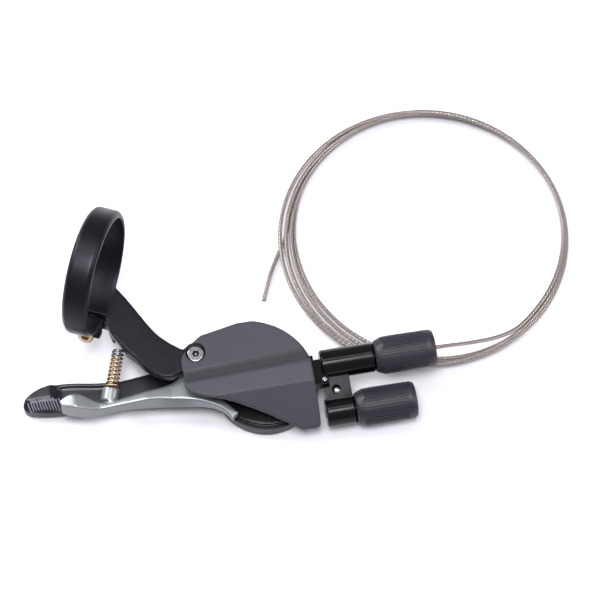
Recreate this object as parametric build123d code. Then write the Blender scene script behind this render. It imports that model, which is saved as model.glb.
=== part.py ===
from build123d import *
import math
import os

# Two-cable lockout lever with a bar clamp. Millimetres, +Z up.
# Bar frame: origin at the centre of the clamp's bore, X along the handlebar.
# Body frame: origin on the main axle, U along the adjuster tubes, V towards the handlebar.

# Handlebar clamp
bore_radius = 15.9
band_wall = 1.9
band_width = 7.2
band_edge = 0.9
slit_angle = -112.0
slit_gap = 1.6
ear_reach = 21.6
ear_wall = 3.2
ear_width = 7.0
bolt_seat_radius = 19.2
bolt_radius = 1.5
bolt_head_radius = 2.3
bolt_head_height = 2.2

# Arm from the clamp to the body, below the handlebar
arm_fill_top = -11.0
arm_root_top = -16.2
arm_root_bottom = -23.6
arm_root_front = -6.0
arm_root_back = 4.1
arm_ear_gap = 0.3
arm_flat_start = 15.6
arm_deep_end = 10.6
arm_thin_start = 18.6
arm_end_thickness = 3.0
arm_bend = 9.0

# Body frame in the bar frame
axle_x = 50.64
axle_y = -7.77
body_drop = -13.6
body_yaw = 25.0

# Heights, from the cover's top down
cover_top = -2.9
cover_wall = 1.3
layer_gap = 0.2
chassis_thickness = 1.5
release_thickness = 2.6
lower_cable_height = -12.9
upper_cable_height = -8.1
lever_top = -14.5
lever_thickness = 3.4

# Cover
cover_arc_radius = 19.8
cover_arc_u = -6.5
cover_arc_v = -5.0
cover_left = -22.9
cover_right = 12.7
cover_back = 14.2
cover_foot = -17.2
cover_low_left = -3.6
cover_nose_radius = 3.4
cover_corner = 1.2
cover_rim_bottom = -9.0
band_top_left = 1.9
band_top_right = 3.9
band_low_left = -1.6
band_low_right = -0.2
band_drop = 0.25
facet_v = -0.9
crease_v = -6.3
facet_drop = 0.55
skirt_drop = 7.6
joint_u = 14.9
recess_radius = 2.75
tab_thickness = 1.2
block_pin_radius = 0.7
clip_u = -5.4
clip_length = 3.6

# Release lever pivot
pivot_u = -18.5
pivot_v = 7.4
pivot_radius = 2.0
pivot_boss_radius = 3.7
pivot_head_radius = 2.45
pivot_sink = 0.9
pivot_head_height = 1.3
bush_wall = 0.8
nut_across_flats = 7.0
nut_height = 2.4

# Main lever and its hub
axle_radius = 2.5
hub_radius = 14.5
hub_wall = 1.6
hub_floor = 1.6
hub_boss_radius = 5.6
hex_across_flats = 8.6
hex_depth = 1.3
running_clearance = 0.04
fit_clearance = 0.05

# Cable spool
lower_groove_radius = 12.5
upper_groove_radius = 5.2
cable_radius = 0.55
flange_height = 0.9
ratchet_radius = 9.3
tooth_depth = 1.0
tooth_pitch = 7.0
tooth_count = 3
sector_start = -132.0
sector_end = -58.0
washer_thickness = 0.5
washer_radius = 4.4
axle_screw_radius = 1.5
axle_screw_head_radius = 2.8
axle_screw_head_height = 1.2

head_radius = 1.6
head_height = 1.8

# Release lever
release_travel = 7.0
release_tip_top = -6.4
release_neck_top = -8.2
spring_radius = 1.85
spring_wire = 0.5
spring_turns = 8
spring_length = 13.0
spring_seat_u = -43.3
spring_seat_v = 2.7
spring_lean = 72.0
spring_tilt = 8.0
cup_radius = 2.5
cup_height = 0.8
cup_foot = 3.2
pocket_depth = 3.4

# Pawl
pawl_u = -12.9
pawl_v = 2.6
pawl_pin_radius = 0.9
pawl_boss_radius = 1.9
pawl_thickness = 2.0
pawl_nose_clearance = 0.12
pawl_nose_angle = 187.0

# Adjuster block, barrels and knobs
upper_tube_v = -0.4
lower_tube_v = -13.0
upper_tube_radius = 4.2
lower_tube_radius = 4.0
upper_tube_start = 15.3
upper_tube_end = 30.4
lower_tube_start = 14.7
lower_tube_end = 22.8
block_right = 22.6
web_thickness = 4.4
tongue_thickness = 2.0
tube_chamfer = 0.4
barrel_radius = 2.5
barrel_insertion = 9.0
housing_radius = 2.1
housing_depth = 7.0
wire_bore_radius = 1.3
knob_radius = 5.35
knob_length = 17.0
knob_bore_wall = 1.3
knob_gap = 0.3
knob_core_wall = 0.6
knob_lip = 0.6
knob_collar_start = 4.5
knob_collar_end = 6.0
rib_groups = 6
ribs_per_group = 4
rib_depth = 0.35
rib_width = 0.45
rib_pitch_angle = 9.0
knob_spring_wire = 0.5

# Cable coil, lying on the table under the knobs
coil_x = 82.16
coil_y = 51.82
coil_mean_radius = 41.5
coil_section_radius = 2.1

# Worked out from the sizes above
band_radius = bore_radius + band_wall
table_height = body_drop + lower_cable_height - knob_radius - layer_gap / 4
arm_end_top = cover_top - cover_wall - layer_gap
arm_end_bottom = arm_end_top - arm_end_thickness
pad_top = arm_end_bottom - layer_gap / 3
pad_bottom = pad_top - chassis_thickness
release_top = pad_bottom - layer_gap
release_bottom = release_top - release_thickness
lever_bottom = lever_top - lever_thickness
roof_top = cover_top - cover_wall - facet_drop - layer_gap
roof_bottom = roof_top - chassis_thickness
spool_top = roof_bottom - layer_gap
spool_bottom = lever_top + layer_gap
sector_top = lower_cable_height + flange_height
sector_bottom = lower_cable_height - flange_height
ratchet_top = sector_top + layer_gap + pawl_thickness + layer_gap
bush_radius = axle_radius + bush_wall
pivot_bush_radius = pivot_radius + bush_wall
knob_clear_radius = barrel_radius + knob_bore_wall
knob_core_radius = knob_clear_radius + knob_core_wall

coil_centre = Vector(coil_x, coil_y, table_height + coil_section_radius)


def on_body(shape):
    """Place a shape of the body frame in the bar frame."""
    return Pos(axle_x, axle_y, body_drop) * Rot(0, 0, body_yaw) * shape


def body_point(u, v, z):
    """A point of the body frame in the bar frame."""
    angle = math.radians(body_yaw)
    x = axle_x + u * math.cos(angle) - v * math.sin(angle)
    y = axle_y + u * math.sin(angle) + v * math.cos(angle)
    return Vector(x, y, z + body_drop)


def slab(face, bottom, top):
    """A flat outline pulled up between two heights."""
    return extrude(Pos(0, 0, bottom) * face, amount=top - bottom)


def disc(radius, bottom, top, u=0.0, v=0.0):
    """A round bar standing between two heights."""
    return slab(Pos(u, v) * Circle(radius), bottom, top)


def tube_along_u(radius, start, end, v, z):
    """A round bar lying along U."""
    return Pos(start, v, z) * Rot(0, 90, 0) * Cylinder(
        radius, end - start, align=(Align.CENTER, Align.CENTER, Align.MIN))


def outline(*points):
    """A closed outline with straight sides."""
    return make_face(Polyline(*points, close=True))


def coil(radius, pitch, turns, wire):
    """A helical spring standing on the XY plane, its wire's centre at the given radius."""
    path = Helix(pitch=pitch, height=pitch * turns, radius=radius)
    section = Plane(origin=path @ 0, z_dir=path % 0) * Circle(wire / 2)
    return sweep(section, path=path, is_frenet=True)


# The handlebar clamp and its arm

def clamp_sector(inner, outer, width, half_thickness):
    """A block across the slit, from one radius to another, in the plane of the ring."""
    block = Box(width, outer - inner, 2 * half_thickness)
    turned = Rot(slit_angle, 0, 0) * Pos(0, (inner + outer) / 2, 0) * block
    return turned


def arm_side():
    """The arm seen from the front: deep at the clamp, thin where it lies under the cover."""
    half = band_width / 2
    end_x = body_point(pivot_u, pivot_v, 0).X + 2 * pivot_boss_radius
    top = body_drop + arm_end_top
    bottom = body_drop + arm_end_bottom
    side = outline(
        (-half, arm_fill_top), (half, arm_fill_top), (half, arm_root_top), (arm_flat_start, top),
        (end_x, top), (end_x, bottom), (arm_thin_start, bottom), (arm_deep_end, arm_root_bottom),
        (-half, arm_root_bottom))
    corners = [vertex for vertex in side.vertices() if half + 1 < vertex.X < arm_thin_start + 1]
    side = fillet(corners, radius=arm_bend)
    return extrude(Plane.XZ * side, amount=2 * bore_radius, both=True)


def arm_plan():
    """The arm seen from above: it leaves one side of the slit, curves and ends in a round boss."""
    pivot = body_point(pivot_u, pivot_v, 0)
    half = band_width / 2
    rim = half + arm_ear_gap
    upper = Spline((rim, arm_root_back), (9.0, 0.9), (14.8, -3.3), (19.1, -6.0), (23.0, -7.5), (26.8, -8.4))
    lower = Spline((26.6, -16.9), (22.6, -17.7), (18.8, -16.7), (14.6, -14.3), (8.8, -11.2), (rim, arm_root_front))
    strip = make_face([
        Line((-half, arm_root_back), upper @ 0), upper, Line(upper @ 1, (pivot.X, pivot.Y)),
        Line((pivot.X, pivot.Y), (pivot.X - 0.3, pivot.Y - pivot_boss_radius)),
        Line((pivot.X - 0.3, pivot.Y - pivot_boss_radius), lower @ 0), lower,
        Line(lower @ 1, (-half, arm_root_front)), Line((-half, arm_root_front), (-half, arm_root_back))])
    return strip + Pos(pivot.X, pivot.Y) * Circle(pivot_boss_radius)


def bar_clamp():
    ring = Rot(0, 90, 0) * (Cylinder(band_radius, band_width))
    ring = chamfer(ring.edges().filter_by(GeomType.CIRCLE), length=band_edge)
    ears = clamp_sector(bore_radius + band_wall / 2, ear_reach, ear_width,
                        ear_wall + slit_gap / 2)
    ears = fillet(ears.edges().filter_by(Axis.X), radius=1.2)
    arm = arm_side() & slab(arm_plan(), 2 * arm_root_bottom, 0)
    body = ring + ears + arm
    body -= Rot(0, 90, 0) * Cylinder(bore_radius, 3 * band_width)
    body -= clamp_sector(bore_radius - 1, ear_reach + band_width, band_width + 2 * arm_ear_gap, slit_gap / 2)
    body -= bolt_hole(bolt_radius + fit_clearance)
    body -= bolt_frame() * Pos(0, 0, ear_wall + slit_gap / 2) * Cylinder(
        bolt_head_radius + fit_clearance, 3 * bolt_head_height,
        align=(Align.CENTER, Align.CENTER, Align.MIN))
    pivot = body_point(pivot_u, pivot_v, 0)
    seat = Pos(pivot.X, pivot.Y, body_drop + arm_end_top)
    body -= seat * Cylinder(pivot_radius + fit_clearance, 4 * arm_end_thickness)
    body -= seat * Cylinder(pivot_head_radius + fit_clearance, 2 * pivot_sink)
    body -= spring_pocket()
    return body.solids().sort_by(SortBy.VOLUME)[-1]


def bolt_frame():
    """Height runs along the pinch bolt, from the slit towards its head."""
    return Rot(slit_angle, 0, 0) * Pos(0, bolt_seat_radius, 0) * Rot(180, 0, 0)


def bolt_hole(radius):
    return bolt_frame() * Cylinder(radius, 6 * ear_wall)


def pinch_bolt():
    top = ear_wall + slit_gap / 2
    shank = Cylinder(bolt_radius, 2 * top, align=(Align.CENTER, Align.CENTER, Align.MIN))
    shank = Pos(0, 0, -top) * shank
    head = Pos(0, 0, top) * Cylinder(
        bolt_head_radius, bolt_head_height, align=(Align.CENTER, Align.CENTER, Align.MIN))
    head = fillet(head.edges().sort_by(Axis.Z)[-1], radius=0.4)
    socket = Pos(0, 0, top + bolt_head_height / 2) * extrude(
        RegularPolygon(bolt_head_radius * 0.55, 6), amount=bolt_head_height)
    return bolt_frame() * (shank + head - socket)


# The chassis and the cover

def cover_outline(inset=0.0):
    """The cover from above: a round nose at the pivot, an arc round the axle and a foot."""
    straight = outline(
        (cover_left, cover_low_left), (cover_left, 11.0), (-18.3, 11.8), (-6.0, cover_back),
        (cover_right, cover_back), (cover_right, cover_foot), (7.3, cover_foot), (2.4, -14.3), (-5.3, -10.3),
        (-12.0, -7.5), (-18.3, -5.7))
    window = Pos(cover_arc_u, cover_arc_v) * Circle(cover_arc_radius)
    window += Pos(0, 2 * cover_foot) * Rectangle(-4 * cover_foot, -4 * cover_foot)
    window += Pos(2 * cover_left - 8.0, 0) * Rectangle(-2 * cover_left, -4 * cover_foot)
    face = straight & window
    nose = [vertex for vertex in face.vertices() if vertex.X < cover_left + 0.1]
    face = fillet(nose, radius=cover_nose_radius)
    foot = [vertex for vertex in face.vertices() if vertex.Y < cover_foot + 0.1]
    face = fillet(foot, radius=cover_corner)
    if inset:
        face = offset(face, amount=-inset)
    return face





def cover_section(drop=0.0):
    """The cover's top in section: flat, a slanting facet and the falling skirt."""
    crease = cover_top - facet_drop - drop
    return [(2 * cover_arc_radius, cover_top - drop), (facet_v, cover_top - drop), (crease_v, crease),
            (cover_foot, crease - skirt_drop),
            (2 * cover_foot, crease - skirt_drop * (2 * cover_foot - crease_v) / (cover_foot - crease_v))]


def along_u(face):
    """A section drawn in V and Z, pulled along U past both ends of the cover."""
    return extrude(Plane.YZ * face, amount=3 * cover_arc_radius, both=True)


def under_cover_skin(drop):
    """Everything below the cover's top, lowered by a thickness."""
    points = cover_section(drop)
    deep = 3 * cover_foot
    return along_u(outline(*points, (2 * cover_foot, deep), (2 * cover_arc_radius, deep)))


def cover():
    blank = under_cover_skin(0) & slab(cover_outline(), 3 * cover_foot, 0)
    shell = blank - under_cover_skin(cover_wall)
    rim_zone = Pos(0, cover_arc_radius + 6.0) * Rectangle(4 * cover_arc_radius, 2 * cover_arc_radius)
    wall_ring = cover_outline() - cover_outline(cover_wall)
    rim = slab(wall_ring & rim_zone, cover_rim_bottom, cover_top - cover_wall)
    arm_window = Pos(pivot_u - pivot_boss_radius, pivot_v) * Rectangle(
        4 * pivot_boss_radius + 2 * layer_gap, 4 * pivot_boss_radius)
    rim -= slab(arm_window, 2 * cover_rim_bottom, arm_end_top)
    body = shell + rim
    reach = 2 * cover_right
    band = outline((-reach, band_top_left), (reach, band_top_right), (reach, band_low_right), (-reach, band_low_left))
    body -= slab(band, cover_top - band_drop, 0)
    body -= disc(recess_radius, cover_rim_bottom, 0, pivot_u, pivot_v)
    clip = Pos(clip_u, clip_v()) * Rectangle(clip_length, 4 * cover_wall)
    body -= slab(clip, cover_rim_bottom - 1, roof_top)
    return on_body(body.solids().sort_by(SortBy.VOLUME)[-1])


def chassis():
    inside = cover_outline(cover_wall + 0.3)
    upper_half = Pos(0, cover_arc_radius + crease_v) * Rectangle(
        4 * cover_arc_radius, 2 * cover_arc_radius)
    roof_zone = Pos(cover_arc_radius - 12.4, 0) * Rectangle(
        2 * cover_arc_radius, 4 * cover_arc_radius)
    roof = slab(inside & upper_half & roof_zone, roof_bottom, roof_top)
    roof &= under_cover_skin(cover_wall + layer_gap)
    pad = Pos(pivot_u, pivot_v) * Circle(pivot_boss_radius)
    bridge = Pos((pivot_u - 11.0) / 2, pivot_v) * Rectangle(-11.0 - pivot_u, 2 * pivot_boss_radius - 2)
    wing = Pos(pawl_u, pawl_v) * Circle(2.6)
    pad = slab((pad + bridge + wing) & inside, pad_bottom, pad_top)
    riser = Pos(-11.6, pivot_v) * Rectangle(1.6, 2 * pivot_boss_radius - 2)
    riser = slab(riser, pad_bottom, roof_top) & slab(inside, pad_bottom, roof_top)
    tab = Pos(joint_u - 0.4, -3.2) * Rectangle(4.2, 7.6)
    tab = slab(tab, tongue_top(), tongue_top() + tab_thickness)
    post = slab(Pos(joint_u - 3.6, -0.6) * Rectangle(4.2, 4.4), tongue_top(), roof_top)
    hook = slab(Pos(clip_u, clip_v() - 0.6) * Rectangle(clip_length - 0.6, 2 * cover_wall),
                roof_bottom, roof_top - layer_gap)
    body = clear_of_cover(roof + tab + post) + pad + riser + hook
    body -= tube_along_u(upper_tube_radius + fit_clearance, upper_tube_start - fit_clearance,
                         upper_tube_end, upper_tube_v, upper_cable_height)
    body -= disc(axle_radius, spool_bottom, 0)
    body -= disc(pivot_radius + fit_clearance, spool_bottom, 0, pivot_u, pivot_v)
    body -= disc(pawl_pin_radius, spool_bottom, 0, pawl_u, pawl_v)
    body -= disc(block_pin_radius, spool_bottom, 0, block_pin_u(), block_pin_v())
    return on_body(body.solids().sort_by(SortBy.VOLUME)[-1])


def clip_v():
    """The cover's far edge, where the chassis hooks into it."""
    return cover_back


def clear_of_cover(shape):
    """What is left of a shape below the cover's skin, with a gap."""
    skin = slab(cover_outline(-layer_gap), 2 * cover_foot, 0) - under_cover_skin(cover_wall + layer_gap)
    return shape - skin


def tongue_top():
    """Top of the adjuster block's tongue, which the chassis tab rests on."""
    return roof_top - 2.1


def block_pin_u():
    return joint_u + 0.7


def block_pin_v():
    return -5.7


# The pivot of the release lever

def pivot_screw():
    seat = arm_end_top - pivot_sink
    shank = disc(pivot_radius, release_bottom - layer_gap - nut_height, seat)
    head = disc(pivot_head_radius, seat, seat + pivot_head_height)
    head = fillet(head.edges().sort_by(Axis.Z)[-1], radius=0.4)
    socket = slab(RegularPolygon(1.05, 6), seat + 0.3, seat + 2 * pivot_head_height)
    return on_body(Pos(pivot_u, pivot_v) * (shank + head - socket))


def pivot_bush():
    body = disc(pivot_bush_radius, release_bottom - layer_gap / 2, pad_bottom)
    body -= disc(pivot_radius + running_clearance, 2 * release_bottom, 0)
    return on_body(Pos(pivot_u, pivot_v) * body)


def pivot_nut():
    top = release_bottom - layer_gap / 2
    face = RegularPolygon(nut_across_flats / 2, 6, major_radius=False)
    body = slab(face, top - nut_height, top)
    body = chamfer(body.edges().group_by(Axis.Z)[0], length=0.35)
    body -= disc(pivot_radius, 2 * top, 0)
    return on_body(Pos(pivot_u, pivot_v) * body)


# The main lever, its hub and the spool

def lever_outline():
    """The main lever from above: hub, tapering blade and thumb paddle."""
    top = Spline((-4.0, 13.6), (-16.0, 10.4), (-31.8, 8.4), (-45.5, 7.6), (-58.3, 9.2), (-64.0, 7.9))
    nose = Spline(top @ 1, (-67.0, 6.0), (-68.2, 4.2), (-66.2, 2.2))
    low = Spline(nose @ 1, (-58.0, 0.9), (-46.0, 1.0), (-30.0, -0.6), (-15.0, -4.6), (-8.0, -11.8))
    return make_face([top, nose, low, Line(low @ 1, top @ 0)]) + Circle(hub_radius)


def lever_paddle():
    """The raised thumb paddle: a ramp up from the blade and a slope down to its front edge."""
    zone = Pos(-63.5, 4.0) * Rectangle(13.0, 14.0)
    block = slab(lever_outline() & zone, lever_bottom, 0)
    slope = outline((10.4, -12.4), (5.4, -12.2), (0.6, -16.4), (0.6, lever_bottom), (10.4, lever_bottom))
    block &= extrude(Plane.YZ * slope, amount=100, both=True)
    ramp = outline((-72.0, 0), (-60.2, 0), (-60.2, -12.2), (-57.4, lever_top), (-57.0, lever_bottom), (-72.0, lever_bottom))
    block &= extrude(Plane.XZ * ramp, amount=100, both=True)
    rim_zone = Pos(-52.0, 10.0) * Rectangle(16.0, 9.0)
    rim = (lever_outline() & rim_zone) - Pos(0.4, -1.1) * lever_outline()
    return block + slab(rim, lever_bottom, lever_top + 0.8)


def lever_ribs():
    """Fine grip ribs across the paddle's sloping front."""
    ribs = []
    for index in range(12):
        u = -66.2 + index * 0.72
        wedge = outline((5.0, -12.5), (2.4, -14.3), (0.9, -15.9), (0.9, -17.0), (5.0, -13.4))
        wedge = Plane.YZ * (Pos(-0.35, 0.3) * wedge)
        ribs.append(Pos(u + 0.25, 0, 0) * extrude(wedge, amount=-0.36))
    return ribs


def main_lever():
    blade = slab(lever_outline(), lever_bottom, lever_top)
    blade += lever_paddle()
    pocket = Circle(hub_radius - hub_wall) - Circle(hub_boss_radius)
    body = blade - slab(pocket, lever_bottom + hub_floor, 0)
    zone = lever_outline()
    for rib in lever_ribs():
        body += rib & slab(zone, lever_bottom, 0)
    hexagon = RegularPolygon(hex_across_flats / 2 + fit_clearance, 6, major_radius=False)
    body -= slab(hexagon, lever_top - hex_depth - layer_gap, 0)
    body -= disc(bush_radius, 2 * lever_bottom, 0)
    body -= disc(washer_radius + 0.3, 2 * lever_bottom, lever_bottom + 0.9)
    return on_body(body.solids().sort_by(SortBy.VOLUME)[-1])


def ratchet_teeth():
    """The ratchet's saw teeth: steep on the holding side."""
    face = Circle(ratchet_radius)
    for index in range(tooth_count):
        angle = pawl_nose_angle + (index + 0.6) * tooth_pitch
        inner = ratchet_radius - tooth_depth
        notch = outline(
            (inner, 0.0), (ratchet_radius + 1, 0.0),
            polar(ratchet_radius + 1, tooth_pitch * 0.9), polar(ratchet_radius, tooth_pitch * 0.9))
        face -= Rot(0, 0, angle) * notch
    return face


def polar(radius, angle):
    return (radius * math.cos(math.radians(angle)), radius * math.sin(math.radians(angle)))


def groove(radius, height):
    """A ring that cuts a groove with a round floor, open outwards."""
    half = cable_radius + 0.1
    mouth = Circle(2 * radius) - Circle(radius + cable_radius)
    return Pos(0, 0, height) * Torus(radius + cable_radius, half) + slab(
        mouth, height - half, height + half)


def cable_spool():
    outer = lower_groove_radius + cable_radius + 0.6
    reach = [polar(2 * outer, sector_start), polar(2 * outer, (sector_start + sector_end) / 2),
             polar(2 * outer, sector_end)]
    sector = Circle(outer) & outline((0, 0), *reach)
    body = slab(sector, sector_bottom, sector_top)
    body += disc(ratchet_radius - tooth_depth - 0.8, spool_bottom, sector_top)
    body += slab(ratchet_teeth(), sector_top - layer_gap, ratchet_top)
    body += disc(upper_groove_radius + cable_radius + 0.6, ratchet_top, spool_top)
    hexagon = RegularPolygon(hex_across_flats / 2, 6, major_radius=False)
    body += slab(hexagon, lever_top - hex_depth, spool_bottom)
    body -= groove(lower_groove_radius, lower_cable_height)
    body -= groove(upper_groove_radius, upper_cable_height)
    body -= disc(bush_radius, 2 * lever_bottom, 0)
    body -= head_pocket(head_radius + fit_clearance)
    return on_body(body.solids().sort_by(SortBy.VOLUME)[-1])


def head_pocket(radius):
    """The seat of the cable's end piece, open upwards through the small drum's flange."""
    u, v = polar(upper_groove_radius, 165.0)
    return disc(radius, upper_cable_height - head_height / 2, 0, u, v)


def cable_head():
    u, v = polar(upper_groove_radius, 165.0)
    body = disc(head_radius, upper_cable_height - head_height / 2,
                upper_cable_height + head_height / 2, u, v)
    body = fillet(body.edges(), radius=0.25)
    return on_body(body)


def main_bush():
    body = disc(bush_radius, lever_bottom + 0.9, spool_top)
    body -= disc(axle_radius + running_clearance, 2 * lever_bottom, 0)
    return on_body(body)


def main_axle():
    body = disc(axle_radius, lever_bottom + 0.9, roof_top)
    body -= disc(axle_screw_radius, 2 * lever_bottom, lever_bottom + 6)
    return on_body(body)


def axle_washer():
    body = disc(washer_radius, lever_bottom + 0.9 - washer_thickness, lever_bottom + 0.9 - 0.02)
    body -= disc(axle_screw_radius + fit_clearance, 2 * lever_bottom, 0)
    return on_body(body)


def axle_screw():
    top = lever_bottom + 0.9 - washer_thickness
    head = disc(axle_screw_head_radius, top - axle_screw_head_height, top)
    head = fillet(head.edges().sort_by(Axis.Z)[0], radius=0.6)
    socket = slab(RegularPolygon(1.2, 6), top - 2 * axle_screw_head_height, top - 0.3)
    shank = disc(axle_screw_radius, top, lever_bottom + 5)
    return on_body(head + shank - socket)


def return_spring():
    wire = 0.9
    radius = hub_boss_radius + 1.4
    turns = 2
    room = spool_bottom - layer_gap - (lever_bottom + hub_floor) - wire
    body = Pos(0, 0, lever_bottom + hub_floor + wire / 2 + 0.02) * coil(
        radius, (room - 0.05) / turns, turns, wire)
    return on_body(body)


# The release lever and its spring

def release_outline(front):
    """The release lever from above: paddle, neck, broad arm, round pivot and hooked tail."""
    top = Spline((-57.9, 1.0), (-55.4, 2.3), (-52.0, 2.1), (-47.2, -0.6), (-41.5, -0.6), (-33.0, 0.6),
                 (-25.0, 2.6), (-22.4, 5.2))
    side = Line(top @ 1, (pivot_u - 1.0, pivot_v + 3.2))
    right = Polyline(side @ 1, (pivot_u + 4.0, pivot_v), (-15.9, 2.0), (-16.2, -3.0),
                     (-13.2, -5.0), (-9.4, -9.9))
    hook = Line(right @ 1, (-11.4, -11.4))
    under = Spline(hook @ 1, *front)
    return make_face([top, side, *right.edges(), hook, under, Line(under @ 1, top @ 0)])


def release_blank():
    """The lever's front leans back from its lower edge to its ridge."""
    low = [(-13.4, -8.4), (-16.4, -6.6), (-24.0, -4.9), (-33.0, -3.6), (-42.0, -3.0), (-48.6, -3.3),
           (-53.4, -2.7), (-57.6, -0.9)]
    ridge = [(-13.8, -7.4), (-17.4, -4.2), (-24.0, -1.0), (-33.0, -1.4), (-42.0, -2.3), (-48.6, -2.5),
             (-53.2, -1.8), (-57.2, -0.4)]
    bottom = Pos(0, 0, release_bottom) * release_outline(low)
    top = Pos(0, 0, release_tip_top) * release_outline(ridge)
    return loft([bottom, top])


def release_side():
    """The release lever seen from the front: high paddle, low neck, thin under the arm."""
    points = [(-60.0, release_tip_top - 1.2), (-53.6, release_tip_top), (-47.0, release_neck_top),
              (-34.0, release_neck_top), (-26.6, release_top), (0.0, release_top),
              (0.0, release_bottom), (-60.0, release_bottom)]
    side = outline(*points)
    corners = [vertex for vertex in side.vertices() if -59 < vertex.X < -20]
    side = fillet(corners, radius=2.0)
    return extrude(Plane.XZ * side, amount=100, both=True)


def spring_frame():
    """Height runs along the release spring, from its cup on the lever to the arm."""
    height = (release_neck_top + release_bottom) / 2
    return (Pos(spring_seat_u, spring_seat_v, height) * Rot(0, 0, spring_lean)
            * Rot(0, 90 - spring_tilt, 0))


def release_lever():
    body = release_blank() & release_side()
    foot = cup_height + cup_foot
    cup = spring_frame() * Pos(0, 0, cup_height - foot) * Cylinder(
        cup_radius, foot, align=(Align.CENTER, Align.CENTER, Align.MIN))
    neck = spring_frame() * Pos(0, 0, cup_height - foot - 1.8) * Cylinder(
        cup_radius * 0.7, foot, align=(Align.CENTER, Align.CENTER, Align.MIN))
    body += (cup + neck) & slab(Rectangle(200, 200), release_bottom, 0)
    body += disc(pivot_boss_radius, release_bottom, release_top, pivot_u, pivot_v)
    body -= spring_frame() * Pos(0, 0, cup_height - 1.2) * Cylinder(
        spring_radius + 0.1, 4, align=(Align.CENTER, Align.CENTER, Align.MIN))
    body -= disc(pivot_bush_radius + running_clearance, 2 * release_bottom, 0, pivot_u, pivot_v)
    return on_body(body.solids().sort_by(SortBy.VOLUME)[-1])


def release_spring():
    turns_length = spring_length - spring_wire
    body = coil(spring_radius - spring_wire / 2, turns_length / spring_turns, spring_turns, spring_wire)
    return on_body(spring_frame() * Pos(0, 0, cup_height - 1.2 + spring_wire / 2 + 0.02) * body)


def spring_pocket():
    """Room in the arm for the spring's end, over the whole travel of the release lever."""
    top = cup_height - 1.2 + spring_length
    cut = None
    steps = 4
    for index in range(steps + 1):
        turn = -release_travel * index / steps
        length = pocket_depth + 1.2
        rod = spring_frame() * Pos(0, 0, top - 1.2 - length / 2) * Cylinder(
            spring_radius + 0.25, length, align=(Align.CENTER, Align.CENTER, Align.MIN))
        rod = Pos(pivot_u, pivot_v) * Rot(0, 0, turn) * Pos(-pivot_u, -pivot_v) * rod
        cut = rod if cut is None else cut + rod
    return on_body(cut)


# The pawl

def pawl():
    boss = Pos(pawl_u, pawl_v) * Circle(pawl_boss_radius)
    tip = polar(ratchet_radius, pawl_nose_angle)
    arm = outline((pawl_u - 0.6, pawl_v - 1.2), (pawl_u + 1.7, pawl_v - 0.2), (-9.75, -0.55), tip,
                  (-10.4, -2.4), (-10.9, -4.2), (-12.2, -4.2), (-12.4, -1.5))
    bottom = sector_top + layer_gap
    body = slab(boss + arm, bottom, bottom + pawl_thickness)
    body -= disc(ratchet_radius + pawl_nose_clearance, 2 * bottom, 0)
    body -= disc(pawl_pin_radius + running_clearance, 2 * bottom, 0, pawl_u, pawl_v)
    return on_body(body.solids().sort_by(SortBy.VOLUME)[-1])


def pawl_pin():
    bottom = sector_top - 0.3
    body = disc(pawl_pin_radius, bottom, pad_top, pawl_u, pawl_v)
    return on_body(body)


def pawl_spring():
    wire = 0.3
    bottom = sector_top + layer_gap + pawl_thickness
    room = pad_bottom - bottom - wire - 0.04
    body = coil(pawl_boss_radius - 0.5, room / 2, 2, wire)
    return on_body(Pos(pawl_u, pawl_v, bottom + wire / 2 + 0.02) * body)


# The adjuster block, its barrels and knobs

def adjuster_block():
    upper = tube_along_u(upper_tube_radius, upper_tube_start, upper_tube_end,
                         upper_tube_v, upper_cable_height)
    upper = chamfer(upper.edges().filter_by(GeomType.CIRCLE), length=tube_chamfer)
    lower = tube_along_u(lower_tube_radius, lower_tube_start, lower_tube_end,
                         lower_tube_v, lower_cable_height)
    lower = chamfer(lower.edges().filter_by(GeomType.CIRCLE), length=tube_chamfer)
    half = web_thickness / 2
    section = outline(
        (upper_tube_v, upper_cable_height + half), (upper_tube_v, upper_cable_height - half),
        (lower_tube_v, lower_cable_height - half), (lower_tube_v, lower_cable_height + half))
    web = extrude(Plane.YZ * section, amount=block_right - upper_tube_start)
    web = Pos(upper_tube_start, 0, 0) * web
    tongue = Pos(joint_u - 0.2, -3.4) * Rectangle(4.0, 7.2)
    tongue = slab(tongue, tongue_top() - tongue_thickness, tongue_top())
    body = upper + lower + web + clear_of_cover(tongue)
    for start, end, v, z in ((upper_tube_start, upper_tube_end, upper_tube_v, upper_cable_height),
                             (lower_tube_start, lower_tube_end, lower_tube_v, lower_cable_height)):
        body -= tube_along_u(wire_bore_radius, joint_u - 4, end + 1, v, z)
        body -= tube_along_u(barrel_radius + fit_clearance, end - barrel_length(start, end), end + 1, v, z)
    body -= tube_along_u(wire_bore_radius, joint_u - 4, upper_tube_start + 1,
                         upper_tube_v - 0.4, upper_cable_height)
    body -= disc(block_pin_radius, 3 * cover_foot, 0, block_pin_u(), block_pin_v())
    body -= disc(1.2, set_screw_bottom(), 0, set_screw_u(), set_screw_v())
    return on_body(body.solids().sort_by(SortBy.VOLUME)[-1])


def barrel_length(start, end):
    """How far a barrel's thread reaches into its tube."""
    return min(barrel_insertion, end - start - 3)


def set_screw_u():
    return (upper_tube_start + block_right) / 2 - 0.4


def set_screw_v():
    return -8.0


def set_screw_bottom():
    return -11.4


def block_pin():
    top = tongue_top() + tab_thickness
    body = disc(block_pin_radius, tongue_top() - tongue_thickness, top + 0.5, block_pin_u(), block_pin_v())
    return on_body(fillet(body.edges().sort_by(Axis.Z)[-1], radius=0.3))


def set_screw():
    body = disc(1.2, set_screw_bottom(), -8.6, set_screw_u(), set_screw_v())
    return on_body(fillet(body.edges().sort_by(Axis.Z)[-1], radius=1.0))


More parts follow.
